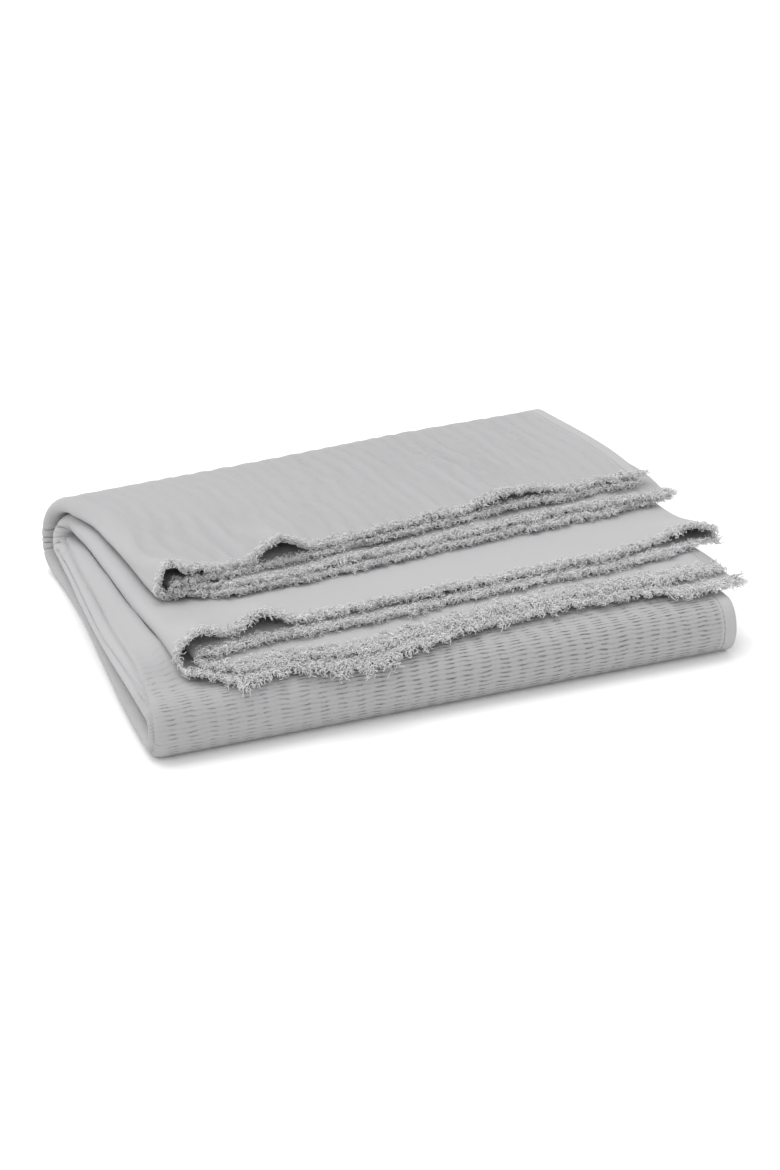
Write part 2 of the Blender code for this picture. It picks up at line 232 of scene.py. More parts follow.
def curveAt(knots, place):
    # A smooth line through the knots
    index = min(max(bisect.bisect_right(knots, (place, math.inf)) - 1, 0), len(knots) - 2)
    (start, low), (end, high) = knots[index:index + 2]
    share = min(max((place - start) / (end - start), 0.0), 1.0)
    before = knots[max(index - 1, 0)]
    after = knots[min(index + 2, len(knots) - 1)]
    leave = (high - before[1]) / (end - before[0]) * (end - start)
    arrive = (after[1] - low) / (after[0] - start) * (end - start)
    rest = 1.0 - share
    return (
        low * rest * rest * (1.0 + 2.0 * share)
        + high * share * share * (3.0 - 2.0 * share)
        + leave * share * rest * rest
        - arrive * share * share * rest
    )


def across(distance):
    index = 0
    while index < layers - 1 and distance >= runStarts[index + 1]:
        index += 1
    run = runs[index]
    rest = distance - runStarts[index]
    depth = run.layer * pitch
    if rest <= stripWidth or run.bendRadius == 0.0:
        x = folded["rightHemX"] - rest if run.leftward else folded["leftFoldX"] + rest
        return x, depth
    turn = (rest - stripWidth) / run.bendRadius
    nextDepth = runs[index + 1].layer * pitch
    depth = (depth + nextDepth) / 2 - (nextDepth - depth) / 2 * math.cos(turn)
    reach = folded["sideBulge"] * run.bendRadius * math.sin(turn)
    x = folded["leftFoldX"] - reach if run.leftward else folded["rightHemX"] + reach
    return x, depth


def flapEnd(flap, depth, x):
    nearLeft = 1.0 - smoothStep((x - folded["leftFoldX"]) / flap.leftEase)
    nearRight = 1.0 - smoothStep((folded["rightHemX"] - x) / folded["rightEase"])
    place = depth / pitch
    foldedRight = min(max(place - 1.0, 0.0), 1.0)
    place += (layers - 1.5 - place) * nearRight * folded["rightEaseShare"] * foldedRight
    lower = min(int(place), layers - 2)
    share = place - lower
    y = flap.layerEnds[lower] * (1.0 - share) + flap.layerEnds[lower + 1] * share
    innerShare = place / (layers - 1)
    for wave in flap.waves:
        reach = wave.outerReach * (1.0 - innerShare) + wave.innerReach * innerShare
        y += reach * hump(x - wave.x, wave.halfWidth)
    y += (flap.foldEnd - y) * nearLeft * flap.easeShare
    seed = 10.0 if flap is topFlap else 20.0
    spot = Vector((x / loose["endWobbleLength"], depth / pitch * 0.8, seed))
    return y + loose["endWobble"] * noise.noise(spot) * (1.0 - 0.7 * nearLeft)


def liftHeight(flap, x, depth, pastEnd, topLayer):
    lifts = sum(
        lift.height * hump(x - lift.x, lift.halfWidth) * hump(max(-pastEnd, 0.0), lift.reach)
        for lift in flap.lifts
    )
    seed = 30.0 if flap is topFlap else 40.0
    spot = Vector((x / loose["riseLength"], depth / pitch * 0.8, seed))
    wave = noise.noise(spot) * (1.0 + 1.2 * topLayer) + 0.35 * topLayer
    return lifts * topLayer + loose["rise"] * wave * hump(max(-pastEnd, 0.0), loose["riseReach"])


def bend(centreY, centreZ, radius, turn):
    return centreY + radius * math.sin(turn), centreZ + radius * math.cos(turn)


def pathPoint(name, share, x, depth, pastEnd):
    if name == "topFlap":
        endY = flapEnd(topFlap, depth, x)
        y = endY + (folded["outerBackBendY"] - endY) * share - pastEnd
        topLayer = max(1.0 - depth / pitch, 0.0)
        return y, topZ - depth + liftHeight(topFlap, x, depth, endY - y, topLayer)
    if name == "outerBackBend":
        return bend(folded["outerBackBendY"], backBendZ, outerRadius - depth, math.pi * share)
    if name == "bottomLevel":
        y = folded["outerBackBendY"] + (folded["frontBendY"] - folded["outerBackBendY"]) * share
        return y, halfThickness + depth
    if name == "frontBend":
        return bend(folded["frontBendY"], frontBendZ, bendRadius - depth, math.pi * (1.0 + share))
    if name == "middleLevel":
        y = folded["frontBendY"] + (folded["innerBackBendY"] - folded["frontBendY"]) * share
        return y, rollTopZ - depth
    if name == "innerBackBend":
        radius = 0.5 * pitch + depth
        return bend(folded["innerBackBendY"], backBendZ, radius, math.pi * (1.0 - share))
    endY = flapEnd(lowerFlap, depth, x)
    y = folded["innerBackBendY"] + (endY - folded["innerBackBendY"]) * share - pastEnd
    topLayer = max((depth - lastLayer) / pitch + 1.0, 0.0)
    rise = liftHeight(lowerFlap, x, lastLayer - depth, endY - y, topLayer)
    rise += loose["frontCurl"] * hump(max(y - endY, 0.0), loose["frontCurlReach"]) * hump(depth, pitch)
    return y, rollTopZ + pitch + depth + rise


def fold(distance, along, pastEnd=0.0):
    # Where a point of the flat sheet lies: distance from its hem, and how far along from the top end
    index = min(bisect.bisect_right(stretchStarts, along) - 1, len(path) - 2)
    here = path[index]
    after = path[index + 1]
    share = (along - stretchStarts[index]) / here.length
    x, layerDepth = across(distance)
    nearLeft = 1.0 - smoothStep((x - folded["leftFoldX"]) / folded["squeezeWidth"])
    place = index + share
    squeeze = folded["squeeze"] * nearLeft * hump(place - folded["squeezePlace"], folded["squeezeReach"])
    depth = layerDepth * (1.0 - squeeze)
    y, z = pathPoint(here.name, share, x, depth, pastEnd)
    z += folded["backRise"] * nearLeft * hump(place - folded["backRisePlace"], folded["backRiseReach"])
    skew = here.skew * (1.0 - share) + after.skew * share
    leftShift = curveAt(leftEdge, place)
    if distance >= runStarts[2]:
        leftShift += curveAt(innerFoldInset, place)
    rightShift = curveAt(rightEdge, place)
    for layer, inset in enumerate(hemInsets):
        rightShift -= curveAt(inset, place) * max(1.0 - abs(layerDepth / pitch - layer), 0.0)
    y += skew * x
    toRight = (x - folded["leftFoldX"]) / stripWidth
    x += leftShift * (1.0 - toRight) + rightShift * toRight
    if here.name == "lowerFlap" and y < folded["frontBendY"]:
        radius = z - frontBendZ
        y, z = bend(folded["frontBendY"], frontBendZ, radius, (y - folded["frontBendY"]) / radius)
    puffWidth = folded["puffNoneY"] - folded["puffFullY"]
    puff = folded["puff"] * smoothStep((folded["puffNoneY"] - y) / puffWidth)
    rise = puff * min((z - halfThickness) / (rollTopZ - halfThickness), 1.0)
    wave = math.sin(math.tau * x / folded["waveLengthX"]) * math.cos(math.tau * y / folded["waveLengthY"])
    rise += folded["waveHeight"] * wave * (z - halfThickness) / topZ
    return Vector((x - folded["centre"][0], y - folded["centre"][1], z + rise))


# The sheet: a flat grid that is carried into its folds, with more points where more shows
sheetValues = {
    "outerStep": 4.8 * mm,      # across the two layers that show
    "innerStep": 20 * mm,       # across the two layers between them
    "sideBendSteps": (18, 5, 5),
    "hemPlaces": (1.5 * mm, 4 * mm, 7 * mm, 8.6 * mm, 9.4 * mm, 10.2 * mm, 11.2 * mm, 13 * mm),
    "edgePlaces": (434.5 * mm, 435.8 * mm, 436.9 * mm),
    "stripePitch": 17.5 * mm,   # soft stripes that run along the sheet
    "stripeHeight": 0.75 * mm,
    "stripeWander": 0.9,
    "stripeWanderLength": (90 * mm, 70 * mm),
    "stripePatch": (50 * mm, 120 * mm),
    "flatReach": 0.62,          # share of the bottom level, from its middle, where hems don't rise
    "flatEase": 0.1,
    "hemWidth": 9.4 * mm,
    "hemEase": 1.5 * mm,
    "hemRise": 0.35 * mm,
    "hemGroove": 0.8 * mm,
    "hemGrooveWidth": 1.3 * mm,
}

# Steps along each stretch, between two shares of its length
Part = namedtuple("Part", "stretch start end step")
alongParts = (
    Part(0, 0.0, 0.12, 3.0 * mm),
    Part(0, 0.12, 1.0, 7.0 * mm),
    Part(1, 0.0, 1.0, 5.0 * mm),
    Part(2, 0.0, 1.0, 19.0 * mm),
    Part(3, 0.0, 1.0, 3.0 * mm),
    Part(4, 0.0, 0.2, 5.4 * mm),
    Part(4, 0.2, 0.75, 12.0 * mm),
    Part(4, 0.75, 1.0, 5.4 * mm),
    Part(5, 0.0, 1.0, 3.6 * mm),
    Part(6, 0.0, 0.56, 16.0 * mm),
    Part(6, 0.56, 0.9, 5.5 * mm),
    Part(6, 0.9, 1.0, 3.0 * mm),
)

# Parts of the flat sheet that get closer rows, for the pleats at the left of both back bends
finerParts = (
    ((439 * mm, 463 * mm), (215 * mm, 256 * mm), 3),
    ((433 * mm, 458 * mm), (900 * mm, 1016 * mm), 3),
)

# Soft troughs, in millimetres: points across and along the sheet, then half width and depth
Crease = namedtuple("Crease", "points halfWidth depth")
creaseReach = 15 * mm           # a step of a crease touches nothing further across than this


def crease(points, halfWidth, depth):
    line = [(distance * mm, along * mm) for distance, along in points]
    return Crease(line, halfWidth * mm, depth * mm)


creases = (
    crease(((437.6, 968), (438.6, 900), (437.2, 840), (437.6, 760), (438.2, 714), (440.1, 688),
            (441.3, 664), (443.3, 649), (444.3, 634), (444.5, 598)), 2.3, 2.0),
    crease(((446.4, 962), (445.0, 930), (444.8, 860), (445.3, 770), (444.4, 725), (444.1, 681),
            (445.2, 660), (444.9, 642)), 2.1, 2.0),
    crease(((446.0, 224.0), (452.0, 226.5), (458.5, 225.5)), 1.9, 2.9),
    crease(((446.5, 233.8), (452.0, 234.2), (458.0, 235.5)), 1.6, 2.6),
    crease(((446.0, 238.6), (451.0, 240.0), (457.0, 241.2)), 1.6, 2.6),
    crease(((447.0, 247.6), (452.0, 247.2), (458.0, 249.4)), 1.8, 2.9),
    crease(((451.0, 998.0), (448.0, 1001.0), (444.0, 1010.0)), 1.8, 2.8),
    crease(((448.5, 994.5), (444.8, 993.0), (438.5, 991.0)), 1.7, 2.8),
    crease(((448.0, 986.0), (443.6, 985.5), (437.0, 974.0)), 1.8, 2.9),
    crease(((449.5, 974.5), (444.0, 971.0), (437.5, 959.5)), 2.2, 3.0),
    crease(((454.0, 947.0), (451.2, 951.7), (445.8, 960.0)), 1.9, 1.2),
    crease(((450.5, 947.0), (445.9, 950.5), (443.5, 956.0)), 1.9, 1.2),
    crease(((448.5, 940.0), (443.0, 944.0), (439.0, 942.8)), 1.9, 1.0),
    crease(((446.8, 612.5), (446.0, 619.5)), 2.6, 1.6),
)


def evenSteps(start, end, step):
    count = max(round((end - start) / step), 1)
    return [start + (end - start) * index / count for index in range(count)]


def alongSteps():
    steps = []
    for piece in alongParts:
        stretch = path[piece.stretch]
        start = stretchStarts[piece.stretch] + stretch.length * piece.start
        end = stretchStarts[piece.stretch] + stretch.length * piece.end
        steps += evenSteps(start, end, piece.step)
    return steps + [clothLength]


def acrossSteps():
    steps = []
    for index, run in enumerate(runs):
        start = runStarts[index]
        shows = run.layer in (0, layers - 1)
        step = sheetValues["outerStep"] if shows else sheetValues["innerStep"]
        steps += evenSteps(start, start + stripWidth, step)
        if run.bendRadius > 0.0:
            length = math.pi * run.bendRadius
            count = sheetValues["sideBendSteps"][index]
            steps += evenSteps(start + stripWidth, start + stripWidth + length, length / count)
    steps = [step for step in steps if step == 0.0 or step > sheetValues["hemPlaces"][-1]]
    return sorted(steps + list(sheetValues["hemPlaces"]) + list(sheetValues["edgePlaces"]) + [clothWidth])


def addFinerRows(bm):
    for (left, right), (low, high), cuts in finerParts:
        edges = []
        for edge in bm.edges:
            middle = (edge.verts[0].co + edge.verts[1].co) / 2
            runsAlong = abs(edge.verts[0].co.x - edge.verts[1].co.x) < 0.01 * mm
            if runsAlong and left < middle.x < right and low < middle.y < high:
                edges.append(edge)
        bmesh.ops.subdivide_edges(bm, edges=edges, cuts=cuts, use_grid_fill=True)


def creaseDepth(distance, along):
    spot = Vector((distance, along))
    deepest = 0.0
    for line in creases:
        for start, end in zip(line.points, line.points[1:]):
            if max(abs(distance - start[0]), abs(distance - end[0])) > creaseReach:
                continue
            way = Vector(end) - Vector(start)
            share = min(max((spot - Vector(start)).dot(way) / way.length_squared, 0.0), 1.0)
            away = (spot - Vector(start) - way * share).length
            deepest = max(deepest, line.depth * hump(away, line.halfWidth))
    return deepest


# The middle level rises a little towards the lower flap's left fold, which lies on it
ridge = {
    "line": (
        (0.691, 411.5 * mm), (0.711, 412.5 * mm), (0.729, 415 * mm), (0.750, 417 * mm), (0.779, 418 * mm),
        (0.799, 419.5 * mm), (0.828, 421.5 * mm), (0.853, 423 * mm), (0.881, 425.5 * mm), (0.906, 427 * mm),
        (0.950, 429 * mm),
    ),
    "height": (
        (0.64, 0.0), (0.69, 3.5 * mm), (0.72, 6.8 * mm), (0.89, 6.8 * mm), (0.93, 4.6 * mm), (0.962, 0.0),
    ),
    "outerWidth": 15 * mm,
    "innerWidth": 7 * mm,
}

# How strong the soft stripes are, at places along the sheet
stripeAlong = (
    (0.0, 3.0), (0.10, 3.2), (0.14, 2.4), (0.19, 0.6), (0.26, 0.0), (0.64, 0.0), (0.70, 0.2), (1.0, 0.25),
    (1.31, 0.5),
)


def ridgeHeight(distance, along):
    low, high = ridge["height"][0][0], ridge["height"][-1][0]
    if not low < along < high or distance > stripWidth:
        return 0.0
    place = distance - curveAt(ridge["line"], along)
    width = ridge["outerWidth"] if place > 0.0 else ridge["innerWidth"]
    return curveAt(ridge["height"], along) * hump(place, width)


def patchNoise(distance, along, lengths, seed):
    return noise.noise(Vector((distance / lengths[0], along / lengths[1], seed)))


def stripeRelief(distance, along):
    wander = patchNoise(distance, along, sheetValues["stripeWanderLength"], 5.0)
    turn = distance / sheetValues["stripePitch"] + sheetValues["stripeWander"] * wander
    strength = 0.6 + 0.8 * patchNoise(distance, along, sheetValues["stripePatch"], 8.0)
    strength *= curveAt(stripeAlong, along)
    return sheetValues["stripeHeight"] * strength * math.cos(math.tau * turn)


def relief(distance, along):
    # Height over the folded surface, on the side that faces out
    bottomStart, bottomLength = stretchStarts[2], path[2].length
    fromMiddle = abs(along - bottomStart - bottomLength / 2) / bottomLength
    bottom = smoothStep((sheetValues["flatReach"] - fromMiddle) / sheetValues["flatEase"])
    inHem = smoothStep((sheetValues["hemWidth"] - distance) / sheetValues["hemEase"] + 1.0)
    height = stripeRelief(distance, along) * (1.0 - inHem)
    height += sheetValues["hemRise"] * inHem * (1.0 - bottom)
    height -= sheetValues["hemGroove"] * hump(
        distance - sheetValues["hemWidth"], sheetValues["hemGrooveWidth"]
    )
    return height + ridgeHeight(distance, along) - creaseDepth(distance, along)


# How strongly the weave is crinkled, at places along the sheet; the same amount also sets the painted shade
# that darkens the cloth, most on the front roll
crinkleAlong = (
    (0.0, 0.24), (0.15, 0.28), (0.23, 0.42), (0.30, 0.6), (0.45, 0.85), (0.56, 1.0), (0.60, 1.0),
    (0.66, 1.0), (0.70, 0.75), (0.745, 0.4), (0.80, 0.2), (0.97, 0.12), (1.03, 0.08), (1.31, 0.05),
)


# Where it fades across the sheet: at the hem, at the left side, on the ridge, and slowly to the left
crinkleFade = {
    "hem": 11 * mm,
    "hemEase": 4 * mm,
    "sideWidth": 16 * mm,
    "sideShare": 0.65,
    "ridge": stripWidth - 40 * mm,
    "ridgeEase": 24 * mm,
    "ridgeShare": 0.85,
    "left": 230 * mm,
    "leftEase": 150 * mm,
    "leftShare": 0.36,
    "rollEnd": 0.66,            # along the sheet, where the front fold has turned into the middle level
    "sideRollEase": 30 * mm,
    "ridgeRollEase": 80 * mm,
}


def crinkleAmount(distance, along):
    values = crinkleFade
    behindRoll = along - values["rollEnd"]
    hem = smoothStep((distance - values["hem"]) / values["hemEase"])
    onSide = hump(distance - outerSideFold, values["sideWidth"])
    pastRoll = smoothStep(behindRoll / values["sideRollEase"])
    onSide *= values["sideShare"] + (1.0 - values["sideShare"]) * pastRoll
    onRidge = values["ridgeShare"] * smoothStep((distance - values["ridge"]) / values["ridgeEase"])
    onRidge *= smoothStep(behindRoll / values["ridgeRollEase"])
    towardsLeft = values["leftShare"] * smoothStep((distance - values["left"]) / values["leftEase"])
    return curveAt(crinkleAlong, along) * hem * (1.0 - towardsLeft) * (1.0 - onSide) * (1.0 - onRidge)


# The weave is drawn open or pushed together along the sheet: real place, and place in the pattern
patternKnots = (
    (0.0, 0.0), (0.60, 0.60), (0.6469, 0.6559), (0.66, 0.6640), (0.80, 0.7130), (1.31, 1.2230),
)


def patternPlace(along):
    index = min(max(bisect.bisect_right(patternKnots, (along, math.inf)) - 1, 0), len(patternKnots) - 2)
    (start, low), (end, high) = patternKnots[index:index + 2]
    return low + (high - low) * (along - start) / (end - start)


def buildSheet(material):
    distances = acrossSteps()
    alongs = alongSteps()
    columns = len(distances) - 1
    rows = len(alongs) - 1
    bm = bmesh.new()
    uvLayer = bm.loops.layers.uv.new("alongCloth")
    crinkleLayer = bm.verts.layers.float.new("crinkle")
    bmesh.ops.create_grid(bm, x_segments=columns, y_segments=rows, size=0.5)
    for vert in bm.verts:
        vert.co.x = distances[round((vert.co.x + 0.5) * columns)]
        vert.co.y = alongs[round((vert.co.y + 0.5) * rows)]
    addFinerRows(bm)
    for face in bm.faces:
        face.smooth = True
        for loop in face.loops:
            loop[uvLayer].uv = (loop.vert.co.x, patternPlace(loop.vert.co.y))
    heights = {}
    for vert in bm.verts:
        heights[vert] = relief(vert.co.x, vert.co.y)
        vert[crinkleLayer] = crinkleAmount(vert.co.x, vert.co.y)
        vert.co = fold(vert.co.x, vert.co.y)
    bmesh.ops.reverse_faces(bm, faces=bm.faces)
    bm.normal_update()
    for vert in bm.verts:
        vert.co += vert.normal * heights[vert]
    mesh = bpy.data.meshes.new("throwSheet")
    bm.to_mesh(mesh)
    bm.free()
    mesh.materials.append(material)
    sheet = bpy.data.objects.new("throwSheet", mesh)
    bpy.context.collection.objects.link(sheet)
    thickness = sheet.modifiers.new("thickness", "SOLIDIFY")
    thickness.thickness = folded["thickness"]
    thickness.offset = 0.0
    thickness.use_rim = True
    print("sheet:", len(mesh.polygons), "faces on each side")
    return sheet


# Frayed ends: curly yarn in tufts, with short curls over the roots, each strand a thin tube
fringeValues = {
    "tuftStep": 2.4 * mm,
    "strandsInTuft": 4,
    "curlsInTuft": 7,
    "tuftSpread": 2.4 * mm,
    "length": 7.4 * mm,
    "lengthSpread": 0.35,
    "lengthWave": 30 * mm,      # how far apart longer and shorter stretches are
    "clump": 0.3,               # how much longer or shorter it gets from one clump to the next
    "clumpWidth": 13 * mm,
    "lean": 2.2 * mm,
    "leanSpread": 1.7 * mm,
    "curlLeanSpread": 2.2 * mm,
    "flare": 5 * mm,            # how far the last tufts on the right lean outwards
    "flareWidth": 15 * mm,
    "rise": 1.0 * mm,
    "riseSpread": 2.8 * mm,     # from tuft to tuft
    "strandRiseSpread": 1.2 * mm,
    "droop": 1.2 * mm,
    "lowest": -2.2 * mm,        # no strand hangs lower than this under the cloth's middle
    "curl": 1.5 * mm,
    "turnLength": 3.4 * mm,     # of yarn to one turn of its curl
    "curlLength": 4.4 * mm,     # of a short curl
    "curlRise": 3.1 * mm,
    "foldShare": 0.45,          # how much shorter it is at the outer side fold
    "foldWidth": 32 * mm,
    "strandPoints": 10,
    "curlPoints": 6,
    "yarnRadius": 0.40 * mm,
    "seed": 7,
}
# Fringe of each layer: its length as a share of the usual one, and how far back on the cloth it starts
FringeRow = namedtuple("FringeRow", "share rootInside")
fringeRows = {
    "upper": (
        FringeRow(0.95, 6 * mm), FringeRow(0.8, 8 * mm),
        FringeRow(1.0, 6 * mm), FringeRow(0.8, 6 * mm),
    ),
    "lower": (
        FringeRow(1.2, 8 * mm), FringeRow(1.15, 14 * mm),
        FringeRow(0.9, 7 * mm), FringeRow(0.9, 6 * mm),
    ),
}


def yarnMesh(name, strands, radius, material):
    # Each strand is a list of (point, radius share); they become one mesh of closed three-sided tubes
    outline = bpy.data.curves.new(name + "Outline", "CURVE")
    outline.dimensions = "3D"
    ring = outline.splines.new("POLY")
    ring.points.add(2)
    ring.use_cyclic_u = True
    for index, point in enumerate(ring.points):
        turn = math.tau * index / 3
        point.co = (radius * math.cos(turn), radius * math.sin(turn), 0.0, 1.0)
    profile = bpy.data.objects.new(name + "Outline", outline)
    data = bpy.data.curves.new(name + "Line", "CURVE")
    data.dimensions = "3D"
    data.bevel_mode = "OBJECT"
    data.bevel_object = profile
    data.use_fill_caps = True
    data.resolution_u = 1
    for strand in strands:
        spline = data.splines.new("POLY")
        spline.points.add(len(strand) - 1)
        for point, (place, share) in zip(spline.points, strand):
            point.co = (*place, 1.0)
            point.radius = share
    source = bpy.data.objects.new(name + "Line", data)
    bpy.context.collection.objects.link(source)
    evaluated = source.evaluated_get(bpy.context.evaluated_depsgraph_get())
    mesh = bpy.data.meshes.new_from_object(evaluated)
    mesh.name = name
    for old in (source, profile):
        bpy.data.objects.remove(old, do_unlink=True)
    for old in (data, outline):
        bpy.data.curves.remove(old)
    mesh.materials.clear()
    mesh.materials.append(material)
    mesh.shade_smooth()
    piece = bpy.data.objects.new(name, mesh)
    bpy.context.collection.objects.link(piece)
    return piece


def strandFrame(distance, along):
    # The two ways across for a strand at the cloth's end
    step = 0.4 * mm
    outwards = (fold(distance, along, 3 * mm) - fold(distance, along)).normalized()
    sideways = fold(min(distance + step, clothWidth), along) - fold(max(distance - step, 0.0), along)
    upwards = sideways.cross(outwards).normalized()
    if upwards.z < 0.0:
        upwards.negate()
    return outwards.cross(upwards).normalized(), upwards


# One strand: where it starts and ends past the cloth's end, how far it leans, rises and sags
Strand = namedtuple("Strand", "distance start end lean rise droop side points")


def strandPath(chance, along, strand):
    values = fringeValues
    sideways, upwards = strandFrame(strand.distance, along)
    reach = strand.end - strand.start
    places = [fold(strand.distance, along, strand.start + reach * share) for share in (0.0, 0.5, 1.0)]
    phase = chance.uniform(0.0, math.tau)
    yarnLength = math.hypot(reach, strand.lean, strand.rise)
    turns = yarnLength / values["turnLength"] * chance.uniform(0.6, 1.4) * chance.choice((-1.0, 1.0))
    curl = values["curl"] * chance.uniform(0.5, 1.3)
    thin = chance.uniform(0.7, 1.15)
    line = []
    for index in range(strand.points):
        share = index / (strand.points - 1)
        place = (
            places[0] * (1.0 - share) * (1.0 - 2.0 * share)
            + places[1] * 4.0 * share * (1.0 - share)
            + places[2] * share * (2.0 * share - 1.0)
        )
        twist = phase + math.tau * turns * share
        coil = curl * min(0.25 + 2.5 * share, 1.0)
        away = sideways * (strand.lean * share + coil * math.cos(twist))
        up = strand.side * halfThickness * (1.0 - 0.5 * share) + strand.rise * share
        up += coil * math.sin(twist) - strand.droop * share * share
        line.append((place + away + upwards * max(up, values["lowest"]), thin * (1.0 - 0.35 * share)))
    return line


def tuftOf(chance, middle, along, row, low, high):
    values = fringeValues
    spot = Vector((middle / values["lengthWave"], along * 5.0, values["seed"]))
    clump = noise.noise(Vector((middle / values["clumpWidth"], along * 3.0 + row.share, 3.0)))
    length = 1.0 + 0.5 * noise.noise(spot) + 2.0 * values["clump"] * clump
    length *= 1.0 - values["foldShare"] * hump(middle - outerSideFold, values["foldWidth"])
    length *= values["length"] * row.share * (1.0 + values["lengthSpread"] * chance.uniform(-1.0, 1.0))
    lean = values["lean"] * chance.uniform(-1.0, 1.0)
    lean -= values["flare"] * hump(folded["rightHemX"] - across(middle)[0], values["flareWidth"])
    rise = values["rise"] + values["riseSpread"] * (0.6 * chance.uniform(-1.0, 1.0) + clump)

    def besides():
        return min(max(middle + values["tuftSpread"] * chance.uniform(-1.0, 1.0), low), high)

    strands = []
    for _ in range(values["strandsInTuft"]):
        strands.append(Strand(
            distance=besides(),
            start=-row.rootInside * chance.random() ** 1.5,
            end=length * chance.uniform(0.5, 1.15),
            lean=lean + values["leanSpread"] * chance.uniform(-1.0, 1.0),
            rise=rise + values["strandRiseSpread"] * chance.uniform(-1.0, 1.0),
            droop=values["droop"],
            side=1.0 if chance.random() < 0.65 else -0.8,
            points=values["strandPoints"],
        ))
    for _ in range(values["curlsInTuft"]):
        start = -row.rootInside + (row.rootInside + 0.75 * length) * chance.random() ** 0.75
        strands.append(Strand(
            distance=besides(),
            start=start,
            end=start + values["curlLength"] * chance.uniform(-0.1, 1.0),
            lean=lean + values["curlLeanSpread"] * chance.uniform(-1.0, 1.0),
            rise=values["curlRise"] * chance.uniform(0.1, 1.0) + 0.4 * rise,
            droop=0.0,
            side=0.9,
            points=values["curlPoints"],
        ))
    return strands


def buildFringe(name, along, runIndex, row, material):
    values = fringeValues
    chance = random.Random(values["seed"] + runIndex * 10 + round(along * 100))
    low = runStarts[runIndex]
    high = runStarts[runIndex + 1] - 0.1 * mm
    strands = []
    for middle in evenSteps(low, high, values["tuftStep"]):
        strands += tuftOf(chance, middle, along, row, low, high)
    lines = [strandPath(chance, along, strand) for strand in strands]
    piece = yarnMesh(name, lines, values["yarnRadius"], material)
    print(name + ":", len(lines), "strands,", len(piece.data.polygons), "faces")
    return piece


# Stitches along both hems
stitchValues = {
    "fromEdge": 9.4 * mm,
    "step": 3.4 * mm,
    "length": 2.5 * mm,
    "depth": 0.35 * mm,
    "yarnRadius": 0.32 * mm,
}


def surfacePoint(distance, along, height):
    # A point over the side of the sheet that faces out
    step = 0.5 * mm
    place = fold(distance, along)
    besides = fold(distance + step, along) - place
    ahead = fold(distance, min(along + step, clothLength)) - fold(distance, along - step)
    return place + ahead.cross(besides).normalized() * (halfThickness + height)


def buildStitches(material):
    values = stitchValues
    strands = []
    for place in evenSteps(3 * mm, clothLength - 3 * mm, values["step"]):
        for distance in (values["fromEdge"], clothWidth - values["fromEdge"]):
            deep = sheetValues["hemGroove"] if distance < stripWidth else 0.0
            strands.append([
                (surfacePoint(distance, place + values["length"] * share, height - 0.6 * deep), thin)
                for share, height, thin in (
                    (0.0, -values["depth"], 0.7), (0.2, 0.1 * mm, 1.0), (0.8, 0.1 * mm, 1.0),
                    (1.0, -values["depth"], 0.7),
                )
            ])
    piece = yarnMesh("hemStitches", strands, values["yarnRadius"], material)
    print("hemStitches:", len(strands), "stitches")
    return piece


# Materials
def addGroup(name, inputs, outputs):
    group = bpy.data.node_groups.new(name, "ShaderNodeTree")
    for label, kind, value in inputs:
        socket = group.interface.new_socket(name=label, in_out="INPUT", socket_type=kind)
        if value is not None:
            socket.default_value = value
    for label, kind in outputs:
        group.interface.new_socket(name=label, in_out="OUTPUT", socket_type=kind)
    return group, group.nodes.new("NodeGroupInput"), group.nodes.new("NodeGroupOutput")


def mathNode(tree, operation, first, second=None, third=None, clamp=False):
    node = tree.nodes.new("ShaderNodeMath")
    node.operation = operation
    node.use_clamp = clamp
    for index, value in enumerate((first, second, third)):
        if value is None:
            continue
        if isinstance(value, (int, float)):
            node.inputs[index].default_value = value
        else:
            tree.links.new(value, node.inputs[index])
    return node.outputs[0]


def mixNode(tree, share, first, second):
    node = tree.nodes.new("ShaderNodeMix")
    node.data_type = "RGBA"
    tree.links.new(share, node.inputs["Factor"])
    for index, colour in ((6, first), (7, second)):
        if isinstance(colour, tuple):
            node.inputs[index].default_value = colour
        else:
            tree.links.new(colour, node.inputs[index])
    return node.outputs[2]


def noiseNode(tree, vector, scale, detail=2.0):
    node = tree.nodes.new("ShaderNodeTexNoise")
    node.inputs["Scale"].default_value = scale
    node.inputs["Detail"].default_value = detail
    tree.links.new(vector, node.inputs["Vector"])
    return node.outputs["Fac"]


# Patterns' scales are in repeats to a metre. A pair is what a wave is multiplied by, then what is added
weaveValues = {
    "slowScale": 16.0,
    "quickScale": 85.0,
    "columns": (0.9, 0.45),
    "rows": (0.5, 0.5),
    "furrowPower": 5.5,         # narrower furrows with more
    "dashes": (0.75, 0.4),
    "patchScale": 230.0,
    "patches": (3.2, -0.6),
    "yarnShare": 0.04,
    "grainScale": 520.0,
    "grainShare": 0.34,
}


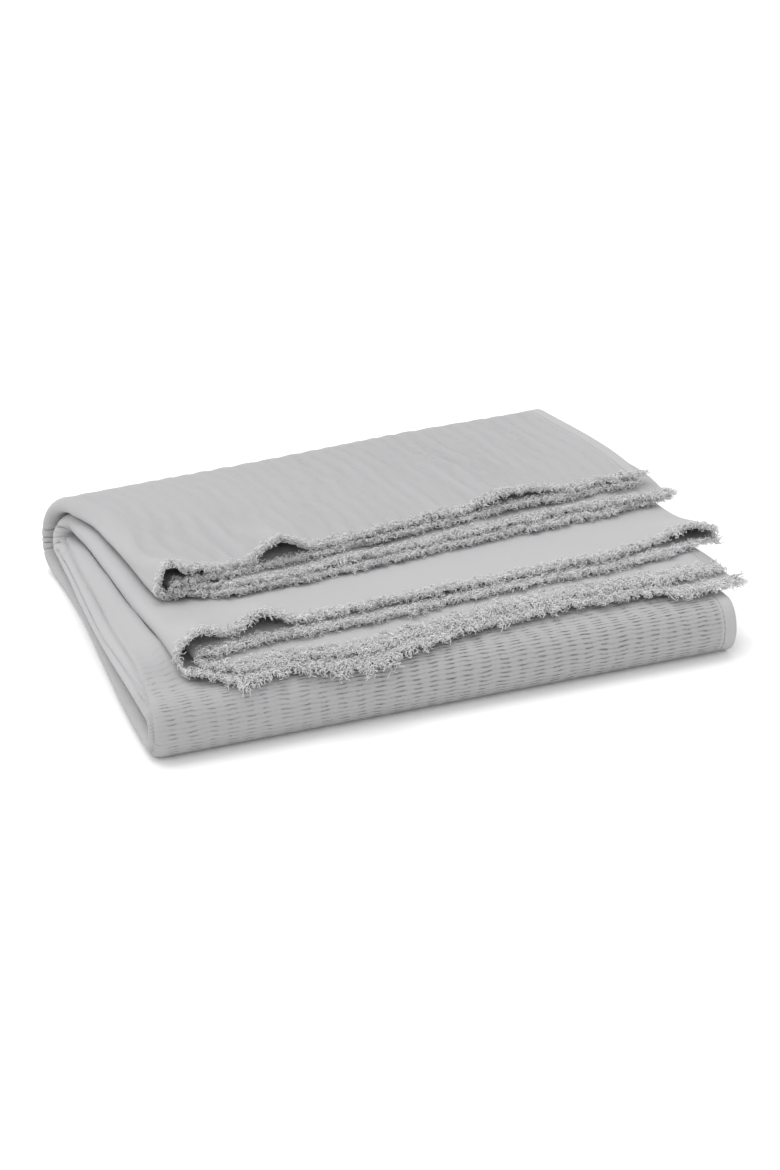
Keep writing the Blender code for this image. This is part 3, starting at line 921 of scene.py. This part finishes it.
def crinkleGroup():
    # Wavy rows of shallow furrows, each deepest in short dashes, over a fine plain weave; the Hollow output
    # is also the mask for painted shade in the furrows
    values = weaveValues
    group, inputs, outputs = addGroup(
        "crinkleWeave",
        (
            ("Vector", "NodeSocketVector", None),
            ("Amount", "NodeSocketFloat", 1.0),
            ("Row Pitch", "NodeSocketFloat", 0.0030),
            ("Column Pitch", "NodeSocketFloat", 0.0135),
            ("Row Wander", "NodeSocketFloat", 0.0030),
            ("Column Wander", "NodeSocketFloat", 0.024),
            ("Yarn Pitch", "NodeSocketFloat", 0.0009),
        ),
        (("Height", "NodeSocketFloat"), ("Hollow", "NodeSocketFloat")),
    )
    separate = group.nodes.new("ShaderNodeSeparateXYZ")
    group.links.new(inputs.outputs["Vector"], separate.inputs[0])
    slow = noiseNode(group, inputs.outputs["Vector"], values["slowScale"], 3.0)
    quick = noiseNode(group, inputs.outputs["Vector"], values["quickScale"])
    slowWay = mathNode(group, "SUBTRACT", slow, 0.5)
    quickWay = mathNode(group, "SUBTRACT", quick, 0.5)
    acrossPlace = mathNode(
        group, "MULTIPLY_ADD", slowWay, inputs.outputs["Column Wander"], separate.outputs["X"]
    )
    alongPlace = mathNode(
        group, "MULTIPLY_ADD", quickWay, inputs.outputs["Row Wander"], separate.outputs["Y"]
    )
    columnTurn = mathNode(group, "DIVIDE", acrossPlace, inputs.outputs["Column Pitch"])
    rowTurn = mathNode(group, "DIVIDE", alongPlace, inputs.outputs["Row Pitch"])
    column = mathNode(group, "COSINE", mathNode(group, "MULTIPLY", columnTurn, math.tau))
    columnShare = mathNode(group, "MULTIPLY_ADD", column, *values["columns"], clamp=True)
    row = mathNode(group, "COSINE", mathNode(group, "MULTIPLY", rowTurn, math.tau))
    rowShare = mathNode(group, "MULTIPLY_ADD", row, *values["rows"])
    furrow = mathNode(group, "POWER", rowShare, values["furrowPower"])
    strength = mathNode(group, "MULTIPLY_ADD", columnShare, *values["dashes"])
    patches = noiseNode(group, inputs.outputs["Vector"], values["patchScale"])
    uneven = mathNode(group, "MULTIPLY_ADD", patches, *values["patches"])
    shadedHollow = mathNode(group, "MULTIPLY", mathNode(group, "MULTIPLY", furrow, strength), uneven)
    shadedHollow = mathNode(group, "MULTIPLY", shadedHollow, inputs.outputs["Amount"])
    acrossYarn = mathNode(group, "DIVIDE", separate.outputs["X"], inputs.outputs["Yarn Pitch"])
    alongYarn = mathNode(group, "DIVIDE", separate.outputs["Y"], inputs.outputs["Yarn Pitch"])
    yarn = mathNode(
        group,
        "MULTIPLY",
        mathNode(group, "SINE", mathNode(group, "MULTIPLY", acrossYarn, math.tau)),
        mathNode(group, "SINE", mathNode(group, "MULTIPLY", alongYarn, math.tau)),
    )
    height = mathNode(group, "SUBTRACT", 1.0, shadedHollow)
    height = mathNode(group, "MULTIPLY_ADD", yarn, values["yarnShare"], height)
    grain = noiseNode(group, inputs.outputs["Vector"], values["grainScale"])
    height = mathNode(group, "MULTIPLY_ADD", grain, values["grainShare"], height)
    group.links.new(height, outputs.inputs["Height"])
    group.links.new(shadedHollow, outputs.inputs["Hollow"])
    return group


fibreValues = {
    "slowScale": 14.0,
    "fuzzScale": 900.0,
}


def softFibreGroup():
    # Slow changes of shade, and the fuzz of cotton yarn
    values = fibreValues
    group, inputs, outputs = addGroup(
        "softFibre",
        (
            ("Vector", "NodeSocketVector", None),
            ("Dark", "NodeSocketColor", (0.4, 0.4, 0.4, 1.0)),
            ("Light", "NodeSocketColor", (0.6, 0.6, 0.6, 1.0)),
        ),
        (("Color", "NodeSocketColor"),),
    )
    slow = noiseNode(group, inputs.outputs["Vector"], values["slowScale"], 3.0)
    fuzz = noiseNode(group, inputs.outputs["Vector"], values["fuzzScale"])
    share = mathNode(group, "MULTIPLY_ADD", fuzz, 0.5, mathNode(group, "MULTIPLY", slow, 0.5), clamp=True)
    colour = mixNode(group, share, inputs.outputs["Dark"], inputs.outputs["Light"])
    group.links.new(colour, outputs.inputs["Color"])
    return group


def newMaterial(name, finish):
    material = bpy.data.materials.new(name)
    material.use_nodes = True
    shader = material.node_tree.nodes["Principled BSDF"]
    shader.inputs["Roughness"].default_value = finish["roughness"]
    shader.inputs["Sheen Weight"].default_value = finish["sheen"]
    shader.inputs["Specular IOR Level"].default_value = finish["specular"]
    return material, shader


def groupNode(tree, group):
    node = tree.nodes.new("ShaderNodeGroup")
    node.node_tree = group
    return node


clothFinish = {
    "dark": (0.395, 0.390, 0.397, 1.0),
    "light": (0.445, 0.440, 0.447, 1.0),
    # Painted shade: a darker colour mixed in where the weave is crinkled, most on the front roll
    "crinkleShade": (0.382, 0.377, 0.384, 1.0),
    "crinkleShadeShare": 3.2,
    # Painted shade in the furrows and dashes: a dark colour mixed in by the weave's hollows
    "shadedHollow": (0.15, 0.145, 0.15, 1.0),
    "shadedHollowShare": 0.4,
    "relief": 0.75 * mm,
    "roughness": 0.92,
    "sheen": 0.1,
    "specular": 0.2,
}


def clothMaterial(crinkle, fibre):
    material, shader = newMaterial("greyCotton", clothFinish)
    tree = material.node_tree
    uv = tree.nodes.new("ShaderNodeUVMap")
    uv.uv_map = "alongCloth"
    amount = tree.nodes.new("ShaderNodeAttribute")
    amount.attribute_name = "crinkle"
    weave = groupNode(tree, crinkle)
    shade = groupNode(tree, fibre)
    tree.links.new(uv.outputs["UV"], weave.inputs["Vector"])
    tree.links.new(amount.outputs["Fac"], weave.inputs["Amount"])
    tree.links.new(uv.outputs["UV"], shade.inputs["Vector"])
    shade.inputs["Dark"].default_value = clothFinish["dark"]
    shade.inputs["Light"].default_value = clothFinish["light"]
    # Painted shade: the cloth is darkened where it is crinkled
    crinkleShade = mathNode(tree, "MULTIPLY", amount.outputs["Fac"], clothFinish["crinkleShadeShare"], clamp=True)
    # Painted shade: the weave's hollows are darkened as their shadow
    shadedHollow = mathNode(tree, "MULTIPLY", weave.outputs["Hollow"], clothFinish["shadedHollowShare"], clamp=True)
    colour = mixNode(tree, crinkleShade, shade.outputs["Color"], clothFinish["crinkleShade"])
    colour = mixNode(tree, shadedHollow, colour, clothFinish["shadedHollow"])
    tree.links.new(colour, shader.inputs["Base Color"])
    bump = tree.nodes.new("ShaderNodeBump")
    bump.inputs["Strength"].default_value = 1.0
    bump.inputs["Distance"].default_value = clothFinish["relief"]
    tree.links.new(weave.outputs["Height"], bump.inputs["Height"])
    tree.links.new(bump.outputs["Normal"], shader.inputs["Normal"])
    return material


yarnFinish = {
    "dark": (0.55, 0.545, 0.55, 1.0),
    "light": (0.93, 0.925, 0.932, 1.0),
    "roughness": 0.95,
    "sheen": 0.1,
    "specular": 0.2,
}

# Dark grey thread: partly its own darker grey, partly painted shade of the needle holes along the stitch
# line
threadAndHoleShadeFinish = {
    "dark": (0.20, 0.195, 0.20, 1.0),
    "light": (0.32, 0.315, 0.32, 1.0),
    "roughness": 0.95,
    "sheen": 0.1,
    "specular": 0.2,
}


def yarnMaterial(name, fibre, finish):
    material, shader = newMaterial(name, finish)
    tree = material.node_tree
    coords = tree.nodes.new("ShaderNodeTexCoord")
    shade = groupNode(tree, fibre)
    tree.links.new(coords.outputs["Object"], shade.inputs["Vector"])
    shade.inputs["Dark"].default_value = finish["dark"]
    shade.inputs["Light"].default_value = finish["light"]
    tree.links.new(shade.outputs["Color"], shader.inputs["Base Color"])
    return material


crinkle = crinkleGroup()
fibre = softFibreGroup()
cotton = clothMaterial(crinkle, fibre)
yarn = yarnMaterial("frayedCotton", fibre, yarnFinish)
threadWithHoleShade = yarnMaterial("hemThreadHoleShade", fibre, threadAndHoleShadeFinish)

sheet = buildSheet(cotton)
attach(sheet, "root")
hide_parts("cloth")

extras = [buildStitches(threadWithHoleShade)]
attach(extras[0], "root")

for node, side, along in (("upper_fringe", "upper", 0.0), ("lower_fringe", "lower", clothLength)):
    for index, run in enumerate(runs):
        name = side + "FringeLayer" + str(run.layer + 1)
        piece = buildFringe(name, along, index, fringeRows[side][run.layer], yarn)
        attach(piece, "root")
        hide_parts(node)
        extras.append(piece)


# Floor and light
stageValues = {
    "floorSize": 14.0,
    "floorColour": (0.95, 0.95, 0.95, 1.0),
    "worldStrength": 0.94,
    "lamps": (                  # direction it shines from, strength, width in degrees
        ((-0.10, 0.32, 1.0), 1.25, 40.0),
        ((-1.0, -0.10, 0.4), 0.5, 120.0),
    ),
}


def addStage(values):
    bm = bmesh.new()
    bmesh.ops.create_grid(bm, x_segments=1, y_segments=1, size=values["floorSize"] / 2)
    mesh = bpy.data.meshes.new("floor")
    bm.to_mesh(mesh)
    bm.free()
    floor = bpy.data.objects.new("floor", mesh)
    bpy.context.collection.objects.link(floor)
    material = bpy.data.materials.new("paleFloor")
    material.use_nodes = True
    shader = material.node_tree.nodes["Principled BSDF"]
    shader.inputs["Base Color"].default_value = values["floorColour"]
    shader.inputs["Roughness"].default_value = 0.9
    shader.inputs["Specular IOR Level"].default_value = 0.1
    mesh.materials.append(material)

    world = bpy.data.worlds.new("studio")
    world.use_nodes = True
    background = world.node_tree.nodes["Background"]
    background.inputs["Color"].default_value = (1.0, 1.0, 1.0, 1.0)
    background.inputs["Strength"].default_value = values["worldStrength"]
    bpy.context.scene.world = world

    for direction, strength, width in values["lamps"]:
        data = bpy.data.lights.new("lamp", "SUN")
        data.energy = strength
        data.angle = math.radians(width)
        lamp = bpy.data.objects.new("lamp", data)
        lamp.rotation_euler = Vector(direction).to_track_quat("Z", "Y").to_euler()
        bpy.context.collection.objects.link(lamp)
    bpy.context.scene.view_settings.view_transform = "Standard"


addStage(stageValues)
print("stage set")
